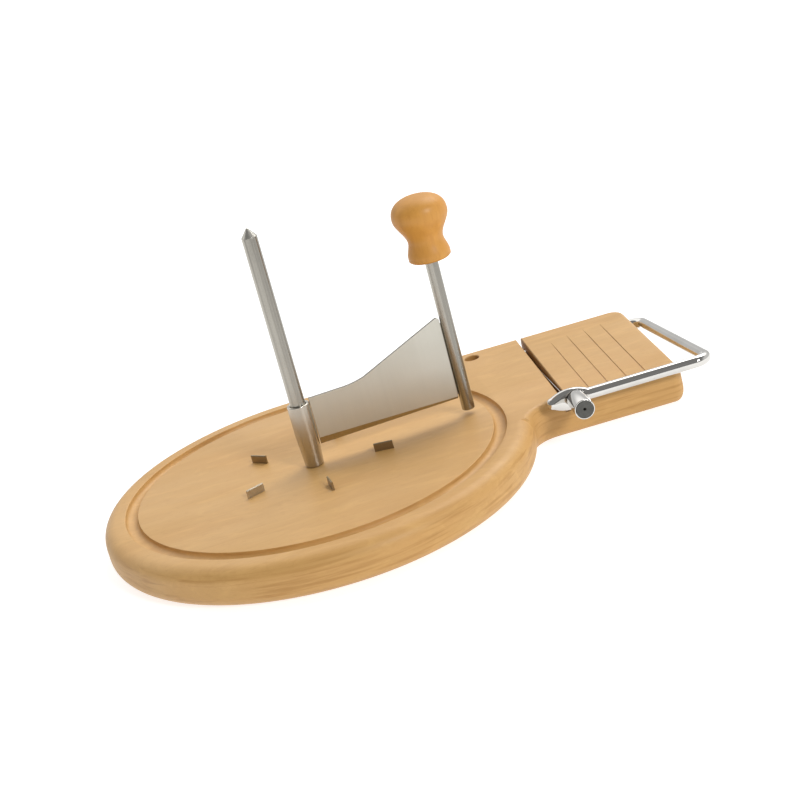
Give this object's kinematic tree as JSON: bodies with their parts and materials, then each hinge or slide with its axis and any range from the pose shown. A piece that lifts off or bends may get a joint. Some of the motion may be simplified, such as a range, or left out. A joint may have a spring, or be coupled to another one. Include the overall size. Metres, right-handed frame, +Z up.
{
  "type": "cheese wire cutter",
  "caption": "Round wooden board on a tab handle, with a knobbed scraper that turns on a steel spindle over anchor fins, and a hinged wire bow that closes into a slot across the tab.",
  "frame": {"origin": "on the underside of the board, on the spindle's axis", "axes": "+Z up along the spindle, +X from the spindle towards the tab handle and its wire bow, -Y on the side of the bow's tensioner"},
  "size_m": [0.3151, 0.22, 0.1449],
  "materials": {
    "beech": "oiled",
    "varnished_beech": "varnished",
    "insert_brass": "plain",
    "ferrule_brass": "plain",
    "cap_plastic": "matte",
    "spindle_steel": "satin",
    "collar_steel": "satin",
    "hub_steel": "satin",
    "blade_steel": "satin",
    "post_steel": "satin",
    "spike_steel": "satin",
    "wire_steel": "satin",
    "stud_steel": "satin",
    "bow_chrome": "polished",
    "lug_chrome": "polished",
    "washer_chrome": "polished",
    "nut_chrome": "polished"
  },
  "bodies": {
    "board_body": {"board": "beech", "spindle": "spindle_steel", "anchor_spike_1": "spike_steel", "anchor_spike_2": "spike_steel", "anchor_spike_3": "spike_steel", "anchor_spike_4": "spike_steel", "anchor_spike_5": "spike_steel"},
    "collar_body": {"hub_collar": "collar_steel"},
    "scraper_body": {"scraper_hub": "hub_steel", "scraper_blade": "blade_steel", "scraper_post": "post_steel", "knob": "varnished_beech", "knob_insert": "insert_brass"},
    "bow_body": {"bow_rod": "bow_chrome", "bow_lug": "lug_chrome", "cutting_wire": "wire_steel", "wire_ferrule": "ferrule_brass", "tension_stud": "stud_steel"},
    "washer_body": {"tension_washer": "washer_chrome"},
    "nut_body": {"tension_nut": "nut_chrome", "tension_cap": "cap_plastic"}
  },
  "joints": [
    {"name": "scraper_lift", "type": "slide", "parent": "board_body", "child": "collar_body", "axis": [0, 0, 1], "range_m": [0, 0.1]},
    {"name": "scraper_turn", "type": "hinge", "parent": "collar_body", "child": "scraper_body", "pos_m": [0, 0, 0.0295], "axis": [0, 0, 1], "continuous": true},
    {"name": "bow_swing", "type": "hinge", "parent": "board_body", "child": "bow_body", "pos_m": [0.1958, 0.089, 0.013], "axis": [-1, 0, 0], "range_deg": [-4, 170]},
    {"name": "nut_shift", "type": "slide", "parent": "bow_body", "child": "washer_body", "axis": [0, -1, 0], "range_m": [0, 0.0021]},
    {"name": "nut_turn", "type": "hinge", "parent": "washer_body", "child": "nut_body", "pos_m": [0.1324, -0.0199, 0.0212], "axis": [0, -1, 0], "range_deg": [0, 1080]}
  ],
  "couplings": [
    {"joint": "nut_shift", "follows": "nut_turn", "m_per_rad": 0.0001114}
  ]
}
